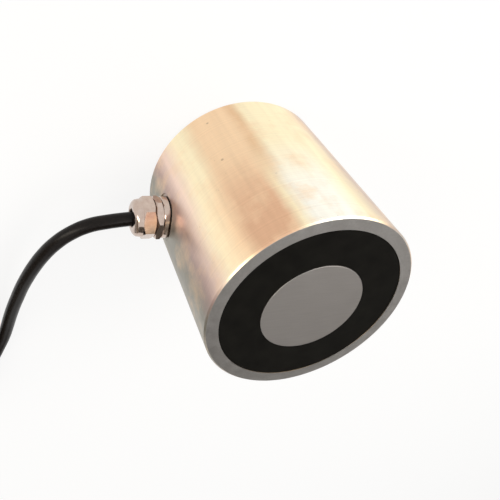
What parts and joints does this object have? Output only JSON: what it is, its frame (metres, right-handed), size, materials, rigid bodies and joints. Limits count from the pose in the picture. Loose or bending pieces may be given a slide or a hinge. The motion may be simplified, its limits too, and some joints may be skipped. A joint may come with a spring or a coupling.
{
  "type": "holding electromagnet",
  "caption": "Round steel holding electromagnet: pot, pole core and black potted coil, with a metal cable gland on its side and a black two-core cable.",
  "frame": {"origin": "centre of the rear face, at the mouth of the mounting thread", "axes": "+Z along the pot's axis towards the holding face, +X along the cable gland, away from the pot"},
  "size_m": [0.2229, 0.1742, 0.08],
  "materials": {
    "zinc_steel": "turned steel, bright zinc plate with a warm passivated tint",
    "ground_steel": "ground steel",
    "nickel_brass": "polished nickel-plated brass",
    "black_resin": "cast black epoxy, satin",
    "black_sheath": "satin extruded PVC",
    "copper": "enamelled copper wire",
    "tape": "polyester film tape",
    "brown_pvc": "satin extruded PVC",
    "blue_pvc": "satin extruded PVC",
    "nylon": "moulded natural nylon",
    "rubber": "moulded nitrile rubber",
    "tin": "tinned copper strands"
  },
  "bodies": {
    "root": {"pot": "zinc_steel", "pole_core": "ground_steel", "coil_former": "nylon", "winding": "copper", "winding_tape": "tape", "resin": "black_resin", "lead_start": "copper", "lead_finish": "copper", "splice_sleeves": "rubber", "conductor_brown": "brown_pvc", "conductor_blue": "blue_pvc", "seal_ring": "rubber", "gland_body": "nickel_brass", "gland_seal": "rubber", "gland_claw": "nylon", "gland_nut": "nickel_brass", "cable": "black_sheath", "cable_coil": "black_sheath", "coil_tie": "nylon", "cable_tail": "black_sheath", "tail_brown": "brown_pvc", "tail_blue": "blue_pvc", "tail_tinned": "tin"}
  },
  "joints": []
}
